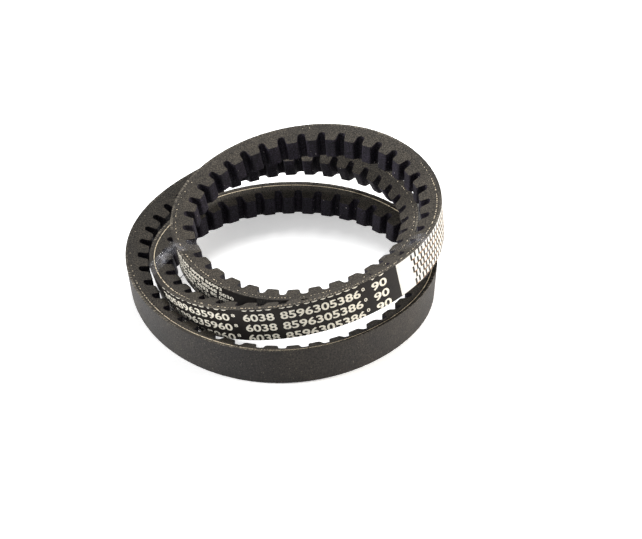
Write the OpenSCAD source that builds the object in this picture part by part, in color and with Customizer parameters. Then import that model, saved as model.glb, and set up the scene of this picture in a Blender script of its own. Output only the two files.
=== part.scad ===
// Cogged raw-edge V-belt, endless, coiled in three loops and held by two clear tape ties.
// Frame: the coil lies on its edge on the plane Z = 0, Z is the coil's axis, and the
// origin is the middle of the coil's outline on that plane. Millimetres and degrees.

/* [Belt section] */
// Width of the belt across its back
belt_top_width = 16.7; // [13:0.1:21]
// Thickness of the belt from its back to the cog tips
belt_thickness = 10.3; // [8.5:0.1:13]
// Slope of each cut side from the middle plane of the section
flank_angle = 20; // [15:1:23]
// Length round the back when the belt lies in one open ring
outside_length = 1219.2; // [1000:0.1:1600]

/* [Cogs] */
// Number of cogs round the belt
cog_count = 112; // [90:1:136]
// Depth of the groove between two cogs, measured from the cog tips
groove_depth = 4.9; // [3.5:0.1:5.9]
// Width of the groove at the cog tips while the belt is straight
groove_width = 4.4; // [3:0.1:5.3]
// Bevel at the corners of each cog tip
cog_bevel = 0.9; // [0.3:0.1:1.2]

/* [Layers] */
// Thickness of each rubberised fabric ply on the back
ply_thickness = 0.5; // [0.3:0.05:0.7]
// Thickness of the gum between the fabric and the cord
overcord_thickness = 0.5; // [0.3:0.05:0.7]
// Side of the space that one turn of the cord fills
cord_size = 1.4; // [1:0.05:1.6]
// Clearance between the cord and the gum above and below it
cord_clearance = 0.1; // [0.08:0.01:0.15]
// Number of turns that the one endless-wound cord makes across the belt
cord_turns = 8; // [4:1:8]
// Thickness of the gum between the cord and the cogged core
undercord_thickness = 0.7; // [0.4:0.05:0.8]

/* [Labels] */
// Thickness of the label films on the back
label_thickness = 0.12; // [0.05:0.01:0.25]
// Groove at which the printed number band starts
number_band_start = 29; // [24:1:32]
// Length of the printed number band, in cogs
number_band_cogs = 13; // [6:1:13]
// Groove at which the white panel starts
white_panel_start = 42; // [42:1:46]
// Length of the white panel, in cogs
white_panel_cogs = 11; // [5:1:14]
// Groove at which the fine print band starts
fine_print_start = 66; // [62:1:70]
// Length of the fine print band, in cogs
fine_print_cogs = 5; // [3:1:8]

/* [Ties] */
// Width of each tape tie along the belt
tie_width = 11; // [6:0.5:14]
// Thickness of the tape
tie_film = 0.15; // [0.1:0.01:0.3]
// Clearance between the tape and the belt strands inside it
tie_clearance = 0.25; // [0.2:0.05:0.3]
// Place of the left tie round the coil, in degrees from the front
left_tie_azimuth = -72; // [-78:1:-60]
// Place of the right tie round the coil, in degrees from the front
right_tie_azimuth = 64; // [55:1:68]

/* [Coil] */
// Gap that separates neighbouring strands, on top of the belt's thickness
strand_gap = 0.7; // [0.5:0.1:3]

/* [Hidden] */

loops = 3;
// Route of the middle of the back, one station every 45 degrees round the three loops,
// starting at the front of the loop that lies on the ground:
// [strand steps out from the mean radius, height in belt widths, outward lean in degrees]
ROUTE = [
    [0.95, 0.45, -9], [0.60, 0.60, -7], [0.60, 0.45, 6], [-0.25, 0.50, 4],
    [-0.80, 0.50, 4], [-0.70, 0.50, 9], [-0.30, 0.55, 15], [-0.25, 0.80, 11],
    [-0.05, 1.50, -5], [0.35, 2.15, -14], [0.85, 2.30, -7], [0.30, 2.65, 2],
    [-0.35, 2.30, 3], [-0.85, 1.75, 7], [-1.25, 1.40, 9], [-1.50, 1.20, 8],
    [-1.25, 1.10, 10], [-0.90, 1.45, -2], [-0.05, 1.55, -21], [0.60, 1.65, -38],
    [1.35, 1.15, 5], [0.70, 0.90, -15], [0.80, 0.80, 8], [0.80, 0.50, 2]];
stations = len(ROUTE);
stations_per_loop = stations / loops;
strand_step = belt_thickness + strand_gap;

// Depths below the back at which one layer ends and the next begins
inner_ply_depth = ply_thickness;
overcord_depth = inner_ply_depth + ply_thickness;
cord_top_depth = overcord_depth + overcord_thickness;
cord_depth = cord_top_depth + cord_size / 2;
undercord_depth = cord_top_depth + cord_size;
core_depth = undercord_depth + undercord_thickness;
groove_root_depth = belt_thickness - groove_depth;
cord_length = outside_length - 2 * PI * cord_depth;

// Uniform cubic B-spline through the route's control stations, which closes on itself
function control(i) = ROUTE[(i + stations) % stations];
function spline(a, b, c, d, t) =
    (pow(1 - t, 3) * a + (3 * pow(t, 3) - 6 * pow(t, 2) + 4) * b
     + (-3 * pow(t, 3) + 3 * pow(t, 2) + 3 * t + 1) * c + pow(t, 3) * d) / 6;
function route_at(s) = let (i = floor(s))
    spline(control(i - 1), control(i), control(i + 1), control(i + 2), s - i);
function azimuth(s) = -90 + 360 * s / stations_per_loop;

// Middle of the back at station s, for a coil of mean radius r
function back_at(s, r) = let (v = route_at(s), a = azimuth(s), out = r + v[0] * strand_step)
    [out * cos(a), out * sin(a), v[1] * belt_top_width];

// Section frame at station s: [middle of the back, along, across (up), outward]
tangent_reach = 0.01;
function unit(v) = v / norm(v);
function frame_at(s, r) =
    let (along = unit(back_at(s + tangent_reach, r) - back_at(s - tangent_reach, r)),
         rise = unit([0, 0, 1] - along * along[2]), side = cross(along, rise),
         lean = route_at(s)[2])
    [back_at(s, r), along, rise * cos(lean) + side * sin(lean),
     side * cos(lean) - rise * sin(lean)];

// Length of the cord line up to each sample, used to space the cogs evenly along it
samples_per_station = 16;
samples = stations * samples_per_station;
function cord_line(r) = [for (i = [0 : samples])
    let (f = frame_at(i / samples_per_station, r)) f[0] - f[3] * cord_depth];
function running_length(line) =
    [for (i = 0, sum = 0; i < len(line);
          sum = sum + (i + 1 < len(line) ? norm(line[i + 1] - line[i]) : 0), i = i + 1) sum];
function cord_line_length(r) = running_length(cord_line(r))[samples];

// Mean radius at which the coiled cord line keeps the cord's true length
open_radius = cord_length / (2 * PI * loops);
function fitted(r) = r + (cord_length - cord_line_length(r)) / (2 * PI * loops);
coil_radius = fitted(fitted(open_radius));
cord_sums = running_length(cord_line(coil_radius));
station_table = [for (i = [0 : samples]) [cord_sums[i], i / samples_per_station]];
cog_pitch = cord_sums[samples] / cog_count;
function station_at(cogs) = lookup(cogs * cog_pitch, station_table);

// Frames at the grooves, where every layer has a ring, and at the middle of the cogs
GROOVES = [for (k = [0 : cog_count - 1]) frame_at(station_at(k), coil_radius)];
COGS = [for (k = [0 : cog_count - 1]) frame_at(station_at(k + 0.5), coil_radius)];

function half_width(depth) = belt_top_width / 2 - depth * tan(flank_angle);
// Point of a section: x along the belt, depth below the back, side +1 (top) or -1
function at(f, x, depth, side) =
    f[0] + f[1] * x - f[3] * depth + f[2] * side * half_width(depth);

// The coil stands with its lowest edge on Z = 0 and its outline centred on the origin
edge_points = [for (f = GROOVES) for (side = [-1, 1]) for (depth = [0, belt_thickness])
    at(f, 0, depth, side)];
function low(axis) = min([for (p = edge_points) p[axis]]);
function high(axis) = max([for (p = edge_points) p[axis]]);
placing = [-(low(0) + high(0)) / 2, -(low(1) + high(1)) / 2, -low(2)];

// Middle of a cell's face at one depth: every layer creases its faces there, so that
// the faces of two layers that meet are the same
function face_middle(k, depth) =
    let (behind = GROOVES[k % cog_count], ahead = GROOVES[(k + 1) % cog_count])
    (at(behind, 0, depth, 1) + at(behind, 0, depth, -1)
     + at(ahead, 0, depth, 1) + at(ahead, 0, depth, -1)) / 4;
function open_fan(middle, edge) =
    [for (i = [0 : len(edge) - 2]) [middle, edge[i], edge[i + 1]]];
function fan(middle, edge) = open_fan(middle, concat(edge, [edge[0]]));

// One cell of a layer: its ring at the groove, and then the middles of its two faces
cell_size = 6;
function layer_cell(k, top_depth, bottom_depth) = let (f = GROOVES[k % cog_count])
    [at(f, 0, top_depth, 1), at(f, 0, top_depth, -1),
     at(f, 0, bottom_depth, -1), at(f, 0, bottom_depth, 1),
     face_middle(k, top_depth), face_middle(k, bottom_depth)];
// Faces from the ring of cell k to the ring of cell m
function cell_faces(k, m) = let (a = cell_size * k, b = cell_size * m)
    concat(fan(a + 4, [a, b, b + 1, a + 1]), fan(a + 5, [a + 2, b + 2, b + 3, a + 3]),
           [[a, a + 3, b + 3], [a, b + 3, b], [a + 1, b + 1, b + 2], [a + 1, b + 2, a + 2]]);

// A layer that runs all round the belt between two depths
module belt_layer(top_depth, bottom_depth) {
    translate(placing) polyhedron(
        points = [for (k = [0 : cog_count - 1]) each layer_cell(k, top_depth, bottom_depth)],
        faces = [for (k = [0 : cog_count - 1]) each cell_faces(k, (k + 1) % cog_count)]);
}

// A strip of film that lies on the back and runs over some cogs from one groove on
module back_film(first, cogs) {
    end = cell_size * cogs;
    translate(placing) polyhedron(
        points = concat(
            [for (k = [first : first + cogs - 1]) each layer_cell(k, -label_thickness, 0)],
            [for (i = [0 : 3]) layer_cell(first + cogs, -label_thickness, 0)[i]]),
        faces = concat(
            [for (k = [0 : cogs - 1]) each cell_faces(k, k + 1)],
            [[0, 1, 2], [0, 2, 3], [end, end + 2, end + 1], [end, end + 3, end + 2]]));
}

// Outline of one cog from groove root to groove root, as [frame, place along the belt,
// depth], where the frame is 0 for the groove behind and 1 for the cog itself. A groove
// has upright walls and a round root. Each cog keeps its own width and its walls stay
// parallel, so a bend in the belt closes the grooves at the cog tips.
cog_width = cog_pitch - groove_width;
root_radius = groove_width / 2;
haunch_angle = 50;
function cog_side(way) = [
    [1, way * (cog_width / 2 + root_radius * (1 - sin(haunch_angle))),
        groove_root_depth + root_radius * (1 - cos(haunch_angle))],
    [1, way * cog_width / 2, groove_root_depth + root_radius],
    [1, way * cog_width / 2, belt_thickness - cog_bevel],
    [1, way * (cog_width / 2 - cog_bevel), belt_thickness]];
function reversed(list) = [for (i = [len(list) - 1 : -1 : 0]) list[i]];
COG_OUTLINE = concat([[0, 0, groove_root_depth]], cog_side(-1), reversed(cog_side(1)));
outline_points = len(COG_OUTLINE);

// One side of a cog's cell: the upper edge at the groove and at its middle, and then
// the outline of the cog, which ends at the first outline point of the next cell
side_size = outline_points + 2;
core_cell_size = 2 * side_size + 1;
function core_side(k, side) =
    let (behind = GROOVES[k], ahead = GROOVES[(k + 1) % cog_count])
    concat([at(behind, 0, core_depth, side),
            (at(behind, 0, core_depth, side) + at(ahead, 0, core_depth, side)) / 2],
           [for (q = COG_OUTLINE) at(q[0] == 0 ? behind : COGS[k], q[1], q[2], side)]);
function core_cell(k) = concat(core_side(k, 1), core_side(k, -1), [face_middle(k, core_depth)]);
// The outline's points on one side of cell k, up to the next cell's first
function outline_at(k, m, offset) =
    concat([for (i = [0 : outline_points - 1]) core_cell_size * k + offset + 2 + i],
           [core_cell_size * m + offset + 2]);
function core_faces(k, m) =
    let (a = core_cell_size * k, b = core_cell_size * m, low_a = a + side_size,
         low_b = b + side_size, upper = outline_at(k, m, 0),
         lower = outline_at(k, m, side_size))
    concat(
        fan(a + 2 * side_size, [a, a + 1, b, low_b, low_a + 1, low_a]),
        open_fan(a + 1, concat([a], upper, [b])),
        open_fan(low_a + 1, concat([low_b], reversed(lower), [low_a])),
        [for (i = [0 : outline_points - 1]) each
            [[upper[i], lower[i], lower[i + 1]], [upper[i], lower[i + 1], upper[i + 1]]]]);

module cogged_core() {
    color("#3b3834") translate(placing) polyhedron(
        points = [for (k = [0 : cog_count - 1]) each core_cell(k)],
        faces = [for (k = [0 : cog_count - 1]) each core_faces(k, (k + 1) % cog_count)]);
}

module undercord_gum() {
    color("#2b2926") belt_layer(undercord_depth, core_depth);
}

// One endless-wound cord: a single strand that starts near the lower cut side and
// crosses the belt evenly, turn by turn, until it ends near the upper cut side
module tensile_cord() {
    cord_side = cord_size - 2 * cord_clearance;
    reach = half_width(undercord_depth) - cord_size / 2;
    rings = cord_turns * cog_count;
    function corner(m, over, depth) = let (f = GROOVES[m % cog_count])
        f[0] - f[3] * depth + f[2] * (reach * (2 * m / rings - 1) + over);
    function cord_ring(m) = [
        corner(m, cord_side / 2, cord_top_depth + cord_clearance),
        corner(m, -cord_side / 2, cord_top_depth + cord_clearance),
        corner(m, -cord_side / 2, undercord_depth - cord_clearance),
        corner(m, cord_side / 2, undercord_depth - cord_clearance)];
    last = 4 * rings;
    color("#cdb389") translate(placing) polyhedron(
        points = [for (m = [0 : rings]) each cord_ring(m)],
        faces = concat(
            [for (m = [0 : rings - 1]) for (j = [0 : 3])
                let (a = 4 * m + j, b = 4 * m + (j + 1) % 4)
                each [[a, b + 4, b], [a, a + 4, b + 4]]],
            [[0, 1, 2], [0, 2, 3], [last, last + 2, last + 1], [last, last + 3, last + 2]]));
}

module overcord_gum() {
    color("#2b2926") belt_layer(overcord_depth, cord_top_depth);
}

module inner_fabric_ply() {
    color("#4a463f") belt_layer(inner_ply_depth, overcord_depth);
}

module outer_fabric_ply() {
    color("#57524a") belt_layer(0, inner_ply_depth);
}

module number_band() {
    color("#15110f") back_film(number_band_start, number_band_cogs);
}

module white_panel() {
    color("#f7f3ea") back_film(white_panel_start, white_panel_cogs);
}

module fine_print_band() {
    color("#8f8a80") back_film(fine_print_start, fine_print_cogs);
}

// Corners of the strand of one loop near an azimuth, seen along the belt: [out, up].
// The cogs lie nearer to the coil's axis than the back does, so the stretch that is
// looked at is measured at the innermost cogs.
tie_samples = 6;
innermost = coil_radius - 1.5 * strand_step - belt_thickness;
function strand_corners(place, loop) = let (turn = place / 360 + loop)
    [for (i = [0 : tie_samples])
        let (along = (i / tie_samples - 0.5) * tie_width,
             f = frame_at((turn + along / (2 * PI * innermost)) * stations_per_loop,
                          coil_radius))
        for (side = [-1, 1]) for (depth = [-label_thickness, belt_thickness])
            let (p = at(f, 0, depth, side), a = place - 90)
            [p[0] * cos(a) + p[1] * sin(a), p[2]]];

// A band of clear tape round the strands of two loops at one place on the coil
module tape_tie(place, loop_a, loop_b) {
    corners = concat(strand_corners(place, loop_a), strand_corners(place, loop_b));
    order = [for (i = [0 : len(corners) - 1]) i];
    module around(clearance) {
        offset(r = clearance, $fn = 32) hull() polygon(corners, [order]);
    }
    translate(placing) rotate([90, 0, place - 90])
        linear_extrude(height = tie_width, center = true)
            difference() {
                around(tie_clearance + tie_film);
                around(tie_clearance);
            }
}

module left_tie() {
    color("#dfe3e6") tape_tie(left_tie_azimuth, 1, 2);
}

module right_tie() {
    color("#dfe3e6") tape_tie(right_tie_azimuth, 1, 2);
}

cogged_core();
undercord_gum();
tensile_cord();
overcord_gum();
inner_fabric_ply();
outer_fabric_ply();
number_band();
white_panel();
fine_print_band();
left_tie();
right_tie();
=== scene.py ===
"""Looks of a coiled cogged V-belt: three loops of one endless belt, held by two clear ties.

The route of the belt is the one in the CAD part. Its values are in millimetres, as they
are there, and every mesh is turned to metres when it is made.
"""

import math

import bpy
import numpy as np
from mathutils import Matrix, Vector


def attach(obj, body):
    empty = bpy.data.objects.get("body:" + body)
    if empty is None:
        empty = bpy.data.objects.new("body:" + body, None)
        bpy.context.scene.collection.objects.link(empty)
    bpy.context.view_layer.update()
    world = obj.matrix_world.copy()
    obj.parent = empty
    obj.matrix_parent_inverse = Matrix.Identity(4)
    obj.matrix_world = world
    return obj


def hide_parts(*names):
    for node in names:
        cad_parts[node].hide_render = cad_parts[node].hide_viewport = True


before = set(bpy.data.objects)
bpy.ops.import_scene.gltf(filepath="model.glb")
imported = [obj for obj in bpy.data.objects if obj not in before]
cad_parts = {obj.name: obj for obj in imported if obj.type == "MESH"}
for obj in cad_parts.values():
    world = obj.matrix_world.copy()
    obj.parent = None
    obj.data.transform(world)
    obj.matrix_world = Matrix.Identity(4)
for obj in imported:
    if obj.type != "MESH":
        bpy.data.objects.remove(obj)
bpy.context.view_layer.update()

MM = 0.001

# --- The belt's section, in millimetres, as in the CAD part -------------------------------
TOP_WIDTH = 16.7
THICKNESS = 10.3
FLANK_TAN = math.tan(math.radians(20))
OUTSIDE_LENGTH = 1219.2
COG_COUNT = 112
GROOVE_DEPTH = 4.9
GROOVE_WIDTH = 4.4
GROOVE_ROOT = THICKNESS - GROOVE_DEPTH
PLY = 0.5
CORD_DEPTH = 2.2
CORE_DEPTH = 3.6
FILM = 0.12
PRINT_HALF_WIDTH = 8.05
STRAND_STEP = THICKNESS + 0.7
LOOPS = 3

# Middle of the back, every 45 degrees round the three loops, starting at the front of the
# loop that lies on the ground: strand steps out from the mean radius, height in belt
# widths, and outward lean in degrees.
ROUTE = np.array([
    (0.95, 0.45, -9), (0.60, 0.60, -7), (0.60, 0.45, 6), (-0.25, 0.50, 4),
    (-0.80, 0.50, 4), (-0.70, 0.50, 9), (-0.30, 0.55, 15), (-0.25, 0.80, 11),
    (-0.05, 1.50, -5), (0.35, 2.15, -14), (0.85, 2.30, -7), (0.30, 2.65, 2),
    (-0.35, 2.30, 3), (-0.85, 1.75, 7), (-1.25, 1.40, 9), (-1.50, 1.20, 8),
    (-1.25, 1.10, 10), (-0.90, 1.45, -2), (-0.05, 1.55, -21), (0.60, 1.65, -38),
    (1.35, 1.15, 5), (0.70, 0.90, -15), (0.80, 0.80, 8), (0.80, 0.50, 2)], float)
STATIONS = len(ROUTE)
PER_LOOP = STATIONS // LOOPS


# --- Where the belt runs ------------------------------------------------------------------
def route_at(station):
    """Uniform cubic B-spline through the stations, which closes on itself."""
    first = np.floor(station).astype(int)
    t = (station - first)[..., None]
    weights = ((1 - t) ** 3, 3 * t**3 - 6 * t**2 + 4, -3 * t**3 + 3 * t**2 + 3 * t + 1, t**3)
    return sum(w * ROUTE[(first + i - 1) % STATIONS] for i, w in enumerate(weights)) / 6


def back_at(station, radius):
    offset, height, _ = np.moveaxis(route_at(station), -1, 0)
    angle = np.radians(-90 + 360 * station / PER_LOOP)
    out = radius + offset * STRAND_STEP
    return np.stack([out * np.cos(angle), out * np.sin(angle), height * TOP_WIDTH], -1)


def unit(v):
    return v / np.linalg.norm(v, axis=-1, keepdims=True)


def frames_at(station, radius):
    """Middle of the back, and the directions along the belt, across it (up) and outward."""
    reach = 0.01
    along = unit(back_at(station + reach, radius) - back_at(station - reach, radius))
    rise = unit(np.array([0.0, 0, 1]) - along * along[..., 2:])
    side = np.cross(along, rise)
    lean = np.radians(route_at(station)[..., 2:])
    return (back_at(station, radius), along, rise * np.cos(lean) + side * np.sin(lean),
            side * np.cos(lean) - rise * np.sin(lean))


SAMPLES = np.linspace(0, STATIONS, 16 * STATIONS + 1)
CORD_LENGTH = OUTSIDE_LENGTH - 2 * math.pi * CORD_DEPTH


def cord_sums(radius):
    middle, _, _, outward = frames_at(SAMPLES, radius)
    line = middle - outward * CORD_DEPTH
    steps = np.linalg.norm(np.diff(line, axis=0), axis=1)
    return np.concatenate([[0], np.cumsum(steps)])


coil_radius = CORD_LENGTH / (2 * math.pi * LOOPS)
for _ in range(2):
    coil_radius += (CORD_LENGTH - cord_sums(coil_radius)[-1]) / (2 * math.pi * LOOPS)
SUMS = cord_sums(coil_radius)
PITCH = SUMS[-1] / COG_COUNT


def half_width(depth):
    return TOP_WIDTH / 2 - depth * FLANK_TAN


class Frames:
    """Section frames at places along the belt, given in cogs from the front."""

    def __init__(self, cogs):
        self.cogs = np.asarray(cogs, float)
        station = np.interp((self.cogs % COG_COUNT) * PITCH, SUMS, SAMPLES)
        self.middle, self.along, self.across, self.outward = frames_at(station, coil_radius)

    def point(self, depth, y, x=0.0):
        """Points at a depth below the back, y up from the middle and x further along."""
        depth, y, x = (np.asarray(v, float)[..., None] for v in (depth, y, x))
        return self.middle + self.along * x - self.outward * depth + self.across * y


# The CAD part stands with its lowest edge on Z = 0 and its outline centred on the origin
_grooves = Frames(np.arange(COG_COUNT))
_edges = np.concatenate([_grooves.point(d, s * half_width(d))
                         for d in (0, THICKNESS) for s in (-1, 1)])
PLACING = -np.array([*(_edges.min(0) + _edges.max(0))[:2] / 2, _edges.min(0)[2]])


# --- Mesh tools ---------------------------------------------------------------------------
def make_object(name, verts, faces, materials, face_material=None, uv=None, smooth=40):
    """A mesh object from points in millimetres. uv holds one pair for each face corner."""
    mesh = bpy.data.meshes.new(name)
    mesh.from_pydata(((np.asarray(verts) + PLACING) * MM).tolist(), [], faces)
    for material in materials:
        mesh.materials.append(material)
    if face_material is not None:
        mesh.polygons.foreach_set("material_index", np.asarray(face_material, np.int32))
    if uv is not None:
        layer = mesh.uv_layers.new(name="belt")
        layer.data.foreach_set("uv", np.asarray(uv, np.float32).ravel())
    mesh.polygons.foreach_set("use_smooth", np.ones(len(mesh.polygons), bool))
    mesh.update()
    mesh.set_sharp_from_angle(angle=math.radians(smooth))
    piece = bpy.data.objects.new(name, mesh)
    bpy.context.scene.collection.objects.link(piece)
    return piece


def grid_object(name, points, u, v, materials, row_material=None, closed_u=True, smooth=40):
    """A piece from a grid of points (n along the belt, m round the section). It is closed
    round the section, and either closed along the belt too or capped at both ends. u and v
    are millimetres along and round."""
    n, m = points.shape[:2]
    rows = n if closed_u else n - 1
    i, j = np.meshgrid(np.arange(rows), np.arange(m), indexing="ij")
    corner_i = np.stack([i, i + 1, i + 1, i], -1).reshape(-1, 4)
    corner_j = np.stack([j, j, j + 1, j + 1], -1).reshape(-1, 4)
    faces = ((corner_i % n) * m + corner_j % m).tolist()
    uv = np.stack([u[corner_i], v[corner_j]], -1)
    index = None if row_material is None else np.tile(row_material, rows)
    verts = points.reshape(-1, 3)
    if not closed_u:
        last = (n - 1) * m
        faces += [list(range(m))[::-1], list(range(last, last + m))]
        caps = np.concatenate([np.stack([np.full(m, u[0]), v[:m]], -1)[::-1],
                               np.stack([np.full(m, u[n - 1]), v[:m]], -1)])
        uv = np.concatenate([uv.reshape(-1, 2), caps])
        if index is not None:
            index = np.concatenate([index, [row_material[0]] * 2])
    return make_object(name, verts, faces, materials, index, uv, smooth)


def wave(cogs, seed, longest=8.0, terms=6):
    """Smooth noise of about -1 to 1 that closes on itself round the belt."""
    draw = np.random.default_rng(seed)
    turns = draw.integers(COG_COUNT / longest, COG_COUNT / longest * 5, terms)
    phases = draw.uniform(0, 2 * math.pi, terms)
    angle = 2 * math.pi * np.asarray(cogs)[..., None] / COG_COUNT
    return np.sin(angle * turns + phases).sum(-1) / math.sqrt(terms)


# --- Materials ----------------------------------------------------------------------------
class Shader:
    """A small helper that adds nodes to one material."""

    def __init__(self, name, rough, specular=0.5):
        self.material = bpy.data.materials.new(name)
        self.material.use_nodes = True
        self.tree = self.material.node_tree
        self.surface = self.tree.nodes["Principled BSDF"]
        self.surface.inputs["Roughness"].default_value = rough
        self.surface.inputs["Specular IOR Level"].default_value = specular
        self.place = self.tree.nodes.new("ShaderNodeTexCoord").outputs["Object"]

    def node(self, kind, **values):
        made = self.tree.nodes.new("ShaderNode" + kind)
        for key, value in values.items():
            if key in made.inputs:
                made.inputs[key].default_value = value
            else:
                setattr(made, key, value)
        return made

    def link(self, output, target):
        self.tree.links.new(output, target)
        return target.node

    def noise(self, scale, detail=4.0, rough=0.6, place=None):
        made = self.node("TexNoise", Scale=scale, Detail=detail, Roughness=rough)
        self.link(place or self.place, made.inputs["Vector"])
        return made.outputs["Fac"]

    def stretched(self, scale, uv=False):
        """Coordinates scaled apart along each axis, from the object's place or its uv."""
        source = self.node("UVMap", uv_map="belt").outputs["UV"] if uv else self.place
        made = self.node("Mapping", Scale=scale)
        self.link(source, made.inputs["Vector"])
        return made.outputs["Vector"]

    def ramp(self, value, *stops):
        made = self.node("ValToRGB")
        while len(made.color_ramp.elements) < len(stops):
            made.color_ramp.elements.new(0.5)
        for element, (position, colour) in zip(made.color_ramp.elements, stops):
            element.position = position
            element.color = (*colour, 1)
        self.link(value, made.inputs["Fac"])
        return made.outputs["Color"]

    def mix(self, factor, first, second, kind="MIX"):
        made = self.node("Mix", data_type="RGBA", blend_type=kind)
        for value, target in ((factor, made.inputs[0]), (first, made.inputs[6]),
                              (second, made.inputs[7])):
            if isinstance(value, bpy.types.NodeSocket):
                self.link(value, target)
            elif isinstance(value, tuple):
                target.default_value = (*value, 1)
            else:
                target.default_value = value
        return made.outputs[2]

    def math(self, operation, *values):
        made = self.node("Math", operation=operation)
        for value, target in zip(values, made.inputs):
            if isinstance(value, bpy.types.NodeSocket):
                self.link(value, target)
            else:
                target.default_value = value
        return made.outputs[0]

    def colour(self, output):
        self.link(output, self.surface.inputs["Base Color"])

    def roughness(self, value, low, high):
        made = self.node("MapRange", **{"To Min": low, "To Max": high})
        self.link(value, made.inputs["Value"])
        self.link(made.outputs["Result"], self.surface.inputs["Roughness"])

    def bump(self, height, distance, strength=1.0):
        """Adds relief of this many millimetres, on top of any relief added before."""
        made = self.node("Bump", Strength=strength, Distance=distance * MM)
        self.link(height, made.inputs["Height"])
        normal = self.surface.inputs["Normal"]
        if normal.links:
            self.link(normal.links[0].from_socket, made.inputs["Normal"])
        self.link(made.outputs["Normal"], normal)


def cut_rubber(name, tone):
    """Raw cut side: grey-brown rubber with short pale fibres, dark pits and saw marks."""
    s = Shader(name, 0.78, 0.18)
    cloud = s.noise(55, 5)
    base = s.ramp(cloud, (0.3, tuple(0.6 * c for c in tone)), (0.72, tuple(1.35 * c for c in tone)))
    grain = s.ramp(s.noise(1700, 3, 0.7), (0.38, (0.15, 0.15, 0.16)), (0.5, (0.9, 0.9, 0.9)),
                   (0.63, (2.2, 2.1, 1.95)))
    fibres = s.ramp(s.noise(2400, 2, 0.5, s.stretched((1, 1, 0.5))),
                    (0.60, (0, 0, 0)), (0.70, (1, 1, 1)))
    skin = s.mix(0.9, base, grain, "MULTIPLY")
    s.colour(s.mix(s.math("MULTIPLY", fibres, 0.3), skin, (0.30, 0.27, 0.22)))
    s.roughness(cloud, 0.65, 0.9)
    s.bump(s.noise(1400, 5, 0.7), 0.12)
    s.bump(s.noise(260, 3, 0.5), 0.12)
    return s.material


def moulded_rubber():
    """Cog faces: near black, slightly purple rubber with a cloth grain and a few flecks."""
    s = Shader("cog_face_rubber", 0.66, 0.12)
    cloud = s.noise(90, 4)
    base = s.ramp(cloud, (0.3, (0.010, 0.009, 0.011)), (0.75, (0.026, 0.0225, 0.0285)))
    grain = s.ramp(s.noise(1500, 4, 0.7), (0.38, (0.15, 0.15, 0.17)), (0.5, (0.9, 0.9, 0.95)),
                   (0.62, (2.3, 2.2, 2.7)))
    skin = s.mix(0.9, base, grain, "MULTIPLY")
    flecks = s.ramp(s.noise(620, 1, 0.3), (0.765, (0, 0, 0)), (0.79, (1, 1, 1)))
    s.colour(s.mix(flecks, skin, (0.30, 0.28, 0.27)))
    s.roughness(cloud, 0.5, 0.78)
    s.bump(s.noise(1300, 4, 0.6), 0.1)
    return s.material


def weave_height(s, pitch):
    """Height of a bias weave of crossing threads, laid in the belt's own uv."""
    turned = s.node("Mapping", Rotation=(0, 0, math.radians(45)),
                    Scale=(1 / pitch, 1 / pitch, 1))
    s.link(s.node("UVMap", uv_map="belt").outputs["UV"], turned.inputs["Vector"])
    parts = s.node("SeparateXYZ")
    s.link(turned.outputs["Vector"], parts.inputs[0])
    waves = [s.math("SINE", s.math("MULTIPLY", parts.outputs[i], 2 * math.pi)) for i in (0, 1)]
    return s.math("MULTIPLY", waves[0], waves[1])


def back_fabric():
    """The back: rubber-skimmed woven fabric, dusty and worn paler in patches."""
    s = Shader("back_fabric", 0.7, 0.25)
    cloud = s.noise(30, 5, 0.62)
    base = s.ramp(cloud, (0.3, (0.012, 0.0105, 0.0105)), (0.5, (0.021, 0.0182, 0.0165)),
                  (0.75, (0.044, 0.038, 0.032)))
    dust = s.ramp(s.noise(1500, 4, 0.7), (0.37, (0.2, 0.2, 0.2)), (0.5, (0.9, 0.9, 0.9)),
                  (0.64, (2.0, 1.95, 1.8)))
    skin = s.mix(0.85, base, dust, "MULTIPLY")
    lint = s.ramp(s.noise(1900, 2, 0.4, s.stretched((1, 1, 0.6))),
                  (0.68, (0, 0, 0)), (0.75, (1, 1, 1)))
    s.colour(s.mix(s.math("MULTIPLY", lint, 0.35), skin, (0.30, 0.265, 0.21)))
    s.roughness(cloud, 0.55, 0.82)
    s.bump(weave_height(s, 0.9), 0.05)
    s.bump(s.noise(1100, 4, 0.6), 0.05)
    s.surface.inputs["Sheen Weight"].default_value = 0.12
    s.surface.inputs["Sheen Roughness"].default_value = 0.45
    return s.material


def fabric_edge():
    """Cut edge of a ply: pale thread ends among dark rubber."""
    s = Shader("fabric_edge", 0.85, 0.2)
    threads = s.noise(1.7, 3, 0.6, s.stretched((1, 0.3, 1), uv=True))
    ends = s.ramp(threads, (0.47, (0.03, 0.027, 0.024)), (0.58, (0.22, 0.195, 0.155)),
                  (0.70, (0.55, 0.50, 0.40)))
    rubbed = s.ramp(s.noise(0.02, 2, 0.5, s.stretched((1, 1, 1), uv=True)),
                    (0.42, (0, 0, 0)), (0.56, (1, 1, 1)))
    s.colour(s.mix(rubbed, (0.036, 0.032, 0.028), ends))
    s.bump(threads, 0.12)
    return s.material


def cord_thread():
    """Cut cord: cream to gold twisted yarn with dark gaps where rubber covers it."""
    s = Shader("cord_thread", 0.7, 0.3)
    cover = s.noise(0.55, 3, 0.6, s.stretched((1, 0.2, 1), uv=True))
    yarn = s.ramp(s.noise(3.0, 2, 0.5, s.stretched((1, 2, 1), uv=True)),
                  (0.35, (0.62, 0.47, 0.28)), (0.6, (0.98, 0.87, 0.66)))
    s.colour(s.mix(s.ramp(cover, (0.36, (0, 0, 0)), (0.44, (1, 1, 1))),
                   (0.09, 0.075, 0.055), yarn))
    s.bump(s.noise(3.0, 2, 0.5, s.stretched((1, 2, 1), uv=True)), 0.1)
    return s.material


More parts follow.
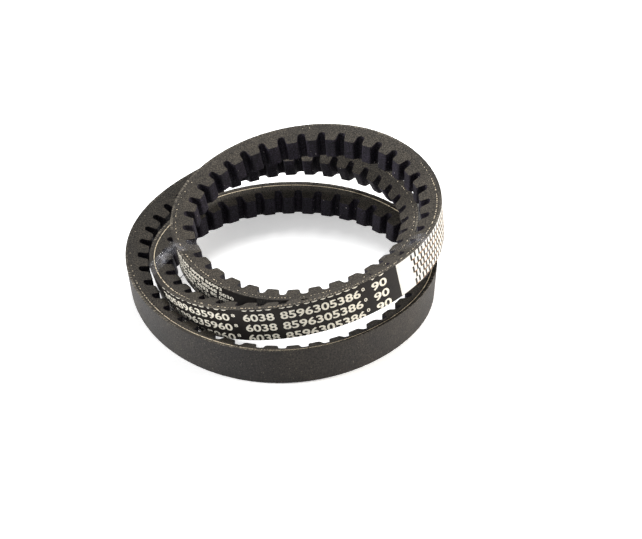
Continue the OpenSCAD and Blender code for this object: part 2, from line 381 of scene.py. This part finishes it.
def inner_cord():
    """The cord inside the belt, where no cut shows it."""
    s = Shader("inner_cord", 0.8, 0.2)
    yarn = s.noise(2400, 3)
    s.colour(s.ramp(yarn, (0.35, (0.34, 0.23, 0.12)), (0.65, (0.60, 0.46, 0.27))))
    s.bump(yarn, 0.1)
    return s.material


def film(name, low, high, rough):
    """Printed transfer film or label: thin, slightly uneven, scuffed."""
    s = Shader(name, rough, 0.2)
    cloud = s.noise(60, 4)
    base = s.ramp(cloud, (0.3, low), (0.72, high))
    scuffs = s.ramp(s.noise(1200, 4, 0.7), (0.3, (0.72, 0.72, 0.72)), (0.55, (1, 1, 1)))
    s.colour(s.mix(0.5, base, scuffs, "MULTIPLY"))
    s.roughness(cloud, rough - 0.08, rough + 0.12)
    s.bump(weave_height(s, 0.9), 0.02)
    s.bump(s.noise(700, 3), 0.04)
    return s.material


def ink(name, colour, worn):
    """Print: flat ink that has worn off in specks, where it shows the tone below."""
    s = Shader(name, 0.6, 0.3)
    specks = s.ramp(s.noise(1600, 3, 0.6), (0.32, (0, 0, 0)), (0.41, (1, 1, 1)))
    s.colour(s.mix(specks, worn, colour))
    s.bump(s.noise(900, 3), 0.03)
    return s.material


def clear_tape():
    """Clear tape: nearly see-through, with patchy haze and a glossy wrinkled surface."""
    s = Shader("clear_tape", 0.1, 0.55)
    s.surface.inputs["Base Color"].default_value = (0.5, 0.5, 0.55, 1)
    s.surface.inputs["Coat Weight"].default_value = 0.5
    s.surface.inputs["Coat Roughness"].default_value = 0.04
    haze = s.ramp(s.noise(190, 4, 0.6), (0.42, (0.01, 0.01, 0.01)), (0.56, (0.04, 0.04, 0.04)),
                  (0.72, (0.18, 0.18, 0.18)))
    s.link(haze, s.surface.inputs["Alpha"])
    s.bump(s.noise(320, 4, 0.55), 0.35)
    return s.material


CUT = cut_rubber("cut_side_rubber", (0.042, 0.0372, 0.0312))
GUM = cut_rubber("cut_gum_rubber", (0.040, 0.036, 0.031))
COG_FACE = moulded_rubber()
BACK = back_fabric()
EDGE = fabric_edge()
CORD = cord_thread()
BAND = film("band_film", (0.006, 0.005, 0.0045), (0.016, 0.0127, 0.011), 0.6)
PANEL = film("panel_film", (0.74, 0.73, 0.69), (0.82, 0.81, 0.78), 0.5)
CREAM = ink("cream_ink", (0.90, 0.86, 0.74), (0.34, 0.30, 0.23))
BLACK_INK = ink("black_ink", (0.012, 0.010, 0.009), (0.06, 0.05, 0.04))
BROWN_INK = ink("brown_ink", (0.30, 0.16, 0.06), (0.45, 0.32, 0.18))
TAPE = clear_tape()


# --- The cogged core ----------------------------------------------------------------------
def cog_outline():
    """Half of a cog, from the middle of the groove to the middle of the cog tip, as
    (distance from the cog's middle, depth). The root is a round arch, the walls slope and
    the tip has a large round corner."""
    root_r, tip_r, root_half, mouth_half = 1.7, 1.1, 2.2, 2.6
    middle = PITCH / 2
    root = [(middle - root_half * math.sin(a), GROOVE_ROOT + root_r * (1 - math.cos(a)))
            for a in np.linspace(0, math.pi / 2, 7)]
    wall_start, wall_end = GROOVE_ROOT + root_r, THICKNESS - tip_r
    wall = [(middle - root_half - (mouth_half - root_half) * f,
             wall_start + (wall_end - wall_start) * f) for f in (0.5, 1.0)]
    tip_x = middle - mouth_half - tip_r
    tip = [(tip_x + tip_r * math.cos(a), wall_end + tip_r * math.sin(a))
           for a in np.linspace(0, math.pi / 2, 6)[1:]]
    flat = [(tip_x * f, THICKNESS) for f in (0.5, 0.0)]
    return np.array(root + wall + tip + flat)


def cogged_core():
    half = cog_outline()
    outline = np.concatenate([half * (-1, 1), half[-2::-1]])[:-1]
    draw = np.random.default_rng(11)
    cog = np.repeat(np.arange(COG_COUNT), len(outline))
    x = np.tile(outline[:, 0], COG_COUNT)
    depth = np.tile(outline[:, 1], COG_COUNT)
    half_cog = (PITCH - GROOVE_WIDTH) / 2
    on_cog = np.clip((PITCH / 2 - np.abs(x)) / (PITCH / 2 - half_cog), 0, 1)
    x = x + on_cog * np.repeat(draw.normal(0, 0.07, COG_COUNT), len(outline))
    low = depth > GROOVE_ROOT + 0.5
    depth = depth - low * np.abs(np.repeat(draw.normal(0, 0.06, COG_COUNT), len(outline)))

    own = Frames(cog + 0.5)
    fanned = Frames(cog + 0.5 + x / PITCH)
    rigid = (on_cog * on_cog * (3 - 2 * on_cog))[:, None]

    def low_point(y_share):
        y = y_share * half_width(depth)
        return rigid * own.point(depth, y, x) + (1 - rigid) * fanned.point(depth, y)

    side_rows = np.linspace(0, 1, 5)
    across = np.linspace(1, -1, 9)[1:-1]
    ring = []
    for sign in (1, -1):
        top = fanned.point(CORE_DEPTH, sign * half_width(CORE_DEPTH))
        bottom = low_point(sign)
        rows = [top + (bottom - top) * f for f in side_rows]
        ring.append(rows if sign > 0 else rows[::-1])
    points = np.stack(ring[0] + [low_point(s) for s in across] + ring[1], axis=1)
    roughness = draw.normal(0, 0.02, points.shape[:2])[..., None]
    roughness[:, [0, -1]] = 0
    points = points + roughness * fanned.across[:, None]

    columns, rows = points.shape[:2]
    u = np.append((cog + 0.5) * PITCH + x, COG_COUNT * PITCH)
    v = np.arange(rows + 1) * 1.7
    kinds = np.ones(rows, int)
    kinds[:len(side_rows) - 1] = 0
    kinds[-len(side_rows):] = 0
    return grid_object("core_with_cogs", points, u, v, [CUT, COG_FACE], kinds, smooth=50)


# --- The layers over the core -------------------------------------------------------------
def swept_layer(name, profile, materials, kinds, per_cog, fray, seed):
    """A layer round the whole belt. profile lists (depth, y) points round its section."""
    cogs = np.arange(COG_COUNT * per_cog) / per_cog
    frames = Frames(cogs)
    draw = np.random.default_rng(seed)
    rings = []
    for depth, y in profile:
        rough = draw.normal(0, fray, len(cogs))
        near_edge = abs(y) > 0.8 * half_width(depth)
        rings.append(frames.point(depth, y + rough * np.sign(y) * near_edge))
    points = np.stack(rings, axis=1)
    outline = np.array(profile + profile[:1], float)
    v = np.concatenate([[0], np.cumsum(np.linalg.norm(np.diff(outline, axis=0), axis=1))])
    u = np.append(cogs, COG_COUNT) * PITCH
    return grid_object(name, points, u, v, materials, kinds)


def band_profile(top, bottom):
    """Section of a flat layer between two depths, with each cut side in two steps."""
    depths = np.linspace(top, bottom, 3)
    upper = [(d, half_width(d)) for d in depths]
    lower = [(d, -half_width(d)) for d in depths[::-1]]
    return upper + lower


def outer_ply_profile():
    """The outer ply: its corners are a little rounded and its back slightly crowned."""
    w = half_width(0)
    corner = [(PLY, half_width(PLY)), (0.22, half_width(0.22)), (0.08, w - 0.05),
              (0.02, w - 0.16)]
    back = [(0.0, y) for y in np.linspace(w - 0.5, -(w - 0.5), 11)]
    return corner + back + [(d, -y) for d, y in corner[::-1]]


def layers():
    outer = outer_ply_profile()
    edge_faces = 3
    kinds = np.ones(len(outer), int)
    kinds[:edge_faces] = 0
    kinds[-edge_faces - 1:-1] = 0
    made = {"outer_fabric_ply": swept_layer("back_outer_ply", outer, [EDGE, BACK], kinds, 16,
                                            0.035, 3)}
    for node, name, top, bottom, material, seed in (
            ("inner_fabric_ply", "back_inner_ply", PLY, 2 * PLY, EDGE, 4),
            ("overcord_gum", "gum_over_cord", 2 * PLY, CORD_DEPTH, GUM, 5),
            ("undercord_gum", "gum_under_cord", CORD_DEPTH, CORE_DEPTH, GUM, 6)):
        profile = band_profile(top, bottom)
        made[node] = swept_layer(name, profile, [material], np.zeros(len(profile), int), 12,
                                 0.015, seed)
    return made


# How much of the cord shows on the upper side, by cog: it was cut open at the front, the
# back of the lowest loop and under the printed band, and is skinned over elsewhere.
SHOWN_COGS = (0, 8, 10, 13, 15, 24, 28, 33, 42, 48, 52, 61, 64, 72, 80, 88, 91, 99, 103, 108, 112)
SHOWN = (1, 1, 0.6, 0.7, 1, 1, 0.8, 0.5, 0.55, 0.5, 0.12, 0.1, 0.4, 0.45, 0.4, 0.4, 0.1, 0.1,
         0.3, 0.9, 1)


def cord_line(name, sign, seed):
    """The cord where a cut side slices through it: a beaded line of yarn, just proud, that
    breaks up into dots and disappears where rubber covers it."""
    per_cog, sides = 32, 6
    cogs = np.arange(COG_COUNT * per_cog) / per_cog
    frames = Frames(cogs)
    shown = np.interp(cogs, SHOWN_COGS, SHOWN) if sign > 0 else 0.45
    cover = 0.5 + 0.28 * wave(cogs, seed, 0.5, 9)
    bare = np.clip((1.15 * shown - cover) * 5, 0, 1)
    beads = 0.5 + 0.5 * np.sin(2 * math.pi * cogs * 8)
    radius = 0.03 + bare * (0.21 + 0.07 * beads)
    centre_y = sign * (half_width(CORD_DEPTH) - 0.16)
    centre_depth = CORD_DEPTH + 0.07 * wave(cogs, seed + 1, 14)
    angles = np.arange(sides) / sides * 2 * math.pi
    points = np.stack([frames.point(centre_depth + radius * math.sin(a),
                                    centre_y + radius * math.cos(a)) for a in angles], axis=1)
    u = np.append(cogs, COG_COUNT) * PITCH
    return grid_object(name, points, u, np.arange(sides + 1) * 0.4, [CORD], smooth=180)


# --- Labels and print ---------------------------------------------------------------------
def film_strip(name, first, last, material, seed):
    """A thin film on the back, from one cog to another, with slightly uneven edges."""
    inset = 0.35
    cogs = np.linspace(first, last, (last - first) * 12 + 1)
    frames = Frames(cogs)
    edge = half_width(0) - inset
    across = np.linspace(1, -1, 9)
    rings = [frames.point(0.02, edge), *(
        frames.point(-FILM * 0.8, s * (edge + 0.05 * wave(cogs, seed, 5))) for s in across),
        frames.point(0.02, -edge)]
    points = np.stack(rings, axis=1)
    v = np.linspace(0, 2 * edge, points.shape[1] + 1)
    return grid_object(name, points, cogs * PITCH, v, [material], closed_u=False)


# --- Print --------------------------------------------------------------------------------
def clip(points, faces, limit):
    """Flat artwork cut off at y = limit and y = -limit."""
    out_points, out_faces = [], []
    for face in faces:
        ring = [tuple(points[i]) for i in face]
        for sign in (1, -1):
            cut = []
            for a, b in zip(ring, ring[1:] + ring[:1]):
                if sign * a[1] <= limit:
                    cut.append(a)
                if (sign * a[1] <= limit) != (sign * b[1] <= limit):
                    f = (sign * limit - a[1]) / (b[1] - a[1])
                    cut.append((a[0] + f * (b[0] - a[0]), sign * limit))
            ring = cut
            if not ring:
                break
        if len(ring) > 2:
            out_faces.append(list(range(len(out_points), len(out_points) + len(ring))))
            out_points += ring
    return np.array(out_points), out_faces


def number_shapes(words):
    """Flat meshes of plain numbers in the built-in font, 1 high: {word: (points, faces)}."""
    shapes = {}
    for word in sorted(set(words)):
        curve = bpy.data.curves.new("digits", "FONT")
        curve.body = word
        curve.offset = 0.024
        curve.resolution_u = 3
        letter = bpy.data.objects.new("digits", curve)
        bpy.context.scene.collection.objects.link(letter)
        bpy.context.view_layer.update()
        ready = letter.evaluated_get(bpy.context.evaluated_depsgraph_get())
        mesh = bpy.data.meshes.new_from_object(ready)
        flat = np.array([v.co[:2] for v in mesh.vertices])
        flat[:, 0] -= flat[:, 0].min()
        shapes[word] = flat / flat[:, 1].max(), [list(p.vertices) for p in mesh.polygons]
        bpy.data.objects.remove(letter)
        bpy.data.curves.remove(curve)
        bpy.data.meshes.remove(mesh)
    return shapes


def number_rows(rows):
    """Rows of numbers as flat artwork. rows lists (word, first x, last x, base y, height)."""
    shapes = number_shapes([row[0] for row in rows])
    points, faces, count = [], [], 0
    for word, first, last, base, height in rows:
        flat, polygons = shapes[word]
        width = flat[:, 0].max()
        points.append(flat * ((last - first) / width, height) + (first, base))
        faces += [[i + count for i in polygon] for polygon in polygons]
        count += len(flat)
    return np.concatenate(points), faces


def bars(places, length, thick):
    """Bars of print as flat artwork: (x, y, upright) for the middle of each."""
    corners = np.array([(-1, -1), (1, -1), (1, 1), (-1, 1)]) / 2
    points = [corners * ((thick, length) if upright else (length, thick)) + (x, y)
              for x, y, upright in places]
    return np.concatenate(points), [list(range(4 * i, 4 * i + 4)) for i in range(len(places))]


def on_back(name, artwork, start_cog, lift, material):
    """Lays flat artwork (x along, y up from the middle) on the back, just above a film."""
    flat, faces = clip(*artwork, PRINT_HALF_WIDTH)
    verts = Frames(start_cog + flat[:, 0] / PITCH).point(-lift, flat[:, 1])
    return make_object(name, verts, faces, [material])


def fine_numbers():
    """Short rows of small numbers of uneven length, as flat artwork."""
    draw = np.random.default_rng(21)
    rows = []
    for base in np.arange(5.6, -8.0, -3.05):
        x = 3.0 + draw.uniform(0, 1.0)
        while x < 36:
            digits = int(draw.integers(2, 6))
            width = 1.9 * digits
            word = "".join(draw.choice(list("035689"), digits))
            rows.append((word, x, x + width, base, 2.05))
            x += width + draw.uniform(0.9, 1.5)
    return number_rows(rows)


def panel_marks():
    """Upright dashes in staggered rows with thin lines between, and plain space ahead."""
    draw = np.random.default_rng(22)
    dashes, lines = [], []
    for row, y in enumerate(np.arange(6.5, -8.0, -3.2)):
        for x in np.arange(9.5 + 1.3 * (row % 2), 116, 2.6):
            dashes.append((x + draw.normal(0, 0.15), y + draw.normal(0, 0.12), True))
            if draw.uniform() < 0.85:
                lines.append((x + 0.9, y - 1.6, False))
    return bars(dashes, 3.0, 1.2), bars(lines, 2.5, 0.6)


# --- Tape ties ----------------------------------------------------------------------------
def hull(points):
    """Convex outline of flat points, anticlockwise."""
    ordered = sorted(map(tuple, points))
    rings = []
    for run in (ordered, ordered[::-1]):
        ring = []
        for p in run:
            while len(ring) > 1 and np.cross(np.subtract(ring[-1], ring[-2]),
                                             np.subtract(p, ring[-2])) <= 0:
                ring.pop()
            ring.append(p)
        rings += ring[:-1]
    return np.array(rings)


def tape_loop(azimuth, count):
    """Points round a tie where a radial plane cuts it, tight over the two strands."""
    angle = math.radians(azimuth - 90)
    corners = []
    for loop in (1, 2):
        station = azimuth / 360 * PER_LOOP + loop * PER_LOOP
        cog = np.interp(station, SAMPLES, SUMS) / PITCH
        place = Frames([cog])
        for depth in (-FILM, THICKNESS):
            for sign in (-1, 1):
                x, y, z = place.point(depth, sign * half_width(depth))[0]
                corners.append((math.hypot(x, y), z))
    outline = hull(corners)
    middle = outline.mean(0)
    ring = np.concatenate([outline, outline[:1]])
    steps = np.concatenate([[0], np.cumsum(np.linalg.norm(np.diff(ring, axis=0), axis=1))])
    spread = np.linspace(0, 1, count, endpoint=False)
    start = np.argmin(outline[:, 0] + outline[:, 1])
    where = (spread * steps[-1] + steps[start]) % steps[-1]
    flat = np.stack([np.interp(where, steps, ring[:, i]) for i in (0, 1)], -1)
    return flat, flat - middle, angle


def tape_tie(name, azimuth, seed, width=11.0, around=180, columns=13):
    draw = np.random.default_rng(seed)
    t = np.arange(around) / around * 2 * math.pi
    sheet = []
    for share in np.linspace(-0.5, 0.5, columns):
        flat, away, angle = tape_loop(azimuth + math.degrees(share * width / coil_radius),
                                      around)
        sheet.append((flat, unit(away), angle))
    phases = draw.uniform(0, 2 * math.pi, 8)
    surfaces = []
    for skin in (0.20, 0.12):
        for column in range(columns):
            flat, away, angle = sheet[column if skin > 0.15 else columns - 1 - column]
            across = (column if skin > 0.15 else columns - 1 - column) / (columns - 1)
            folds = sum(np.sin(k * t + phases[k % 8] + (k % 3 - 1) * 3.0 * across)
                        for k in (7, 11, 17, 26, 37)) / 5
            gather = np.exp(-((t - 0.35 + 0.25 * across) / 0.45) ** 2)
            gather += np.exp(-((t - 2 * math.pi - 0.35) / 0.45) ** 2)
            proud = skin + 0.10 * (1 + folds) + 0.30 * gather * (1 + np.sin(
                31 * t + 6 * across)) / 2
            edge = flat + away * proud[:, None]
            surfaces.append(np.stack([edge[:, 0] * math.cos(angle),
                                      edge[:, 0] * math.sin(angle), edge[:, 1]], -1))
    points = np.stack(surfaces, axis=1)
    u = np.arange(around + 1) * 0.4
    return grid_object(name, points, u, np.arange(2 * columns + 1) * 0.9, [TAPE], smooth=180)


# --- Pieces -------------------------------------------------------------------------------
def hold(piece, slot, *nodes):
    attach(piece, "root")
    if nodes:
        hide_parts(*nodes)


hold(cogged_core(), "core_rubber", "cogged_core")
for node, piece in layers().items():
    hold(piece, "back_fabric" if "ply" in node else "gum_rubber", node)
hold(cord_line("cord_line_upper", 1, 31), "cord")
hold(cord_line("cord_line_lower", -1, 32), "cord")

NUMBER_COGS, PANEL_COGS, FINE_COGS = (29, 42), (42, 53), (66, 71)
hold(film_strip("number_band_film", *NUMBER_COGS, BAND, seed=41), "band_film", "number_band")
hold(film_strip("white_panel_film", *PANEL_COGS, PANEL, seed=42), "panel_film", "white_panel")
hold(film_strip("fine_print_film", *FINE_COGS, BAND, seed=43), "band_film", "fine_print_band")

# Numbers along the band, as (number, start, end) in millimetres from the band's start. One
# digit alone is a small raised mark.
NUMBER_ROW = (("30589635960", 22.0, 62.5), ("8", 63.6, 65.4), ("6038", 68.8, 82.8),
              ("8596305386", 85.4, 120.6), ("0", 121.4, 122.9), ("90", 126.1, 133.8))
number_art = number_rows([
    (word, x0 + 0.1 * row, x1 + 0.1 * row, base + (2.2 if len(word) == 1 else 0),
     1.6 if len(word) == 1 else 3.75)
    for row, base in enumerate((7.65, 2.2, -3.25, -8.7)) for word, x0, x1 in NUMBER_ROW])
hold(on_back("number_rows", number_art, NUMBER_COGS[0], 0.11, CREAM), "band_film")
dash_art, line_art = panel_marks()
hold(on_back("panel_dashes", dash_art, PANEL_COGS[0], 0.115, BLACK_INK), "panel_film")
hold(on_back("panel_lines", line_art, PANEL_COGS[0], 0.11, BROWN_INK), "panel_film")
hold(on_back("fine_numbers", fine_numbers(), FINE_COGS[0], 0.11, CREAM), "band_film")

hold(tape_tie("left_tape", -72, 51), "clear_tape", "left_tie")
hold(tape_tie("right_tape", 64, 52), "clear_tape", "right_tie")

kept_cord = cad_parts["tensile_cord"]
kept_cord.data.materials.clear()
kept_cord.data.materials.append(inner_cord())

# --- Floor, light and camera --------------------------------------------------------------
scene = bpy.context.scene
scene.view_settings.view_transform = "Standard"


def looked_at(nodes, links):
    """1 on camera, glossy and transmission rays, and 0 on the rest."""
    ray = nodes.new("ShaderNodeLightPath")
    seen = ray.outputs["Is Camera Ray"]
    for kind in ("Is Glossy Ray", "Is Transmission Ray"):
        either = nodes.new("ShaderNodeMath")
        either.operation = "MAXIMUM"
        links.new(seen, either.inputs[0])
        links.new(ray.outputs[kind], either.inputs[1])
        seen = either.outputs[0]
    return seen


# The floor is 0.4 mm below the belt, so that the two never share a face.
bpy.ops.mesh.primitive_plane_add(size=6, location=(0, 0, -0.0004))
floor = bpy.context.object
floor.name = "floor"
paper = bpy.data.materials.new("white_paper")
paper.use_nodes = True
nodes, links = paper.node_tree.nodes, paper.node_tree.links
nodes.remove(nodes["Principled BSDF"])
seen = looked_at(nodes, links)
plain = nodes.new("ShaderNodeBsdfDiffuse")
plain.inputs["Color"].default_value = (0.75, 0.75, 0.75, 1)
shaded = nodes.new("ShaderNodeBsdfDiffuse")
shaded.inputs["Color"].default_value = (1, 1, 1, 1)
glow = nodes.new("ShaderNodeEmission")
glow.inputs["Strength"].default_value = 0.5
bright = nodes.new("ShaderNodeAddShader")
links.new(shaded.outputs[0], bright.inputs[0])
links.new(glow.outputs[0], bright.inputs[1])
choose = nodes.new("ShaderNodeMixShader")
links.new(seen, choose.inputs[0])
links.new(plain.outputs[0], choose.inputs[1])
links.new(bright.outputs[0], choose.inputs[2])
links.new(choose.outputs[0], nodes["Material Output"].inputs["Surface"])
floor.data.materials.append(paper)

world = bpy.data.worlds.new("white_room")
scene.world = world
world.use_nodes = True
nodes, links = world.node_tree.nodes, world.node_tree.links
room = nodes["Background"]
seen = looked_at(nodes, links)
level = nodes.new("ShaderNodeMapRange")
level.inputs["To Min"].default_value = 0.15
level.inputs["To Max"].default_value = 1.0
links.new(seen, level.inputs["Value"])
links.new(level.outputs["Result"], room.inputs["Strength"])
room.inputs["Color"].default_value = (1, 1, 1, 1)


def lamp(name, place, size, power, tint=(1, 1, 1)):
    """A square lamp aimed at the middle of the coil. place is in metres."""
    data = bpy.data.lights.new(name, "AREA")
    data.size, data.energy, data.color = size, power, tint
    made = bpy.data.objects.new(name, data)
    made.location = place
    towards = -Vector(place) + Vector((0, 0, 0.02))
    made.rotation_euler = towards.to_track_quat("-Z", "Y").to_euler()
    scene.collection.objects.link(made)


lamp("right_softbox", (0.85, -0.05, 0.26), 0.4, 10.5, (1.0, 0.95, 0.88))
lamp("left_softbox", (-0.85, -0.12, 0.24), 0.4, 9.5)
lamp("top_softbox", (0.0, 0.40, 0.80), 0.3, 7.0)

lens = bpy.data.cameras.new("camera")
lens.lens, lens.sensor_width = 78.72, 36
camera = bpy.data.objects.new("camera", lens)
camera.location = (0.01702, -0.54022, 0.40643)
camera.rotation_euler = (math.radians(53.345), 0, 0)
lens.clip_start, lens.clip_end = 0.01, 50
scene.collection.objects.link(camera)
scene.camera = camera
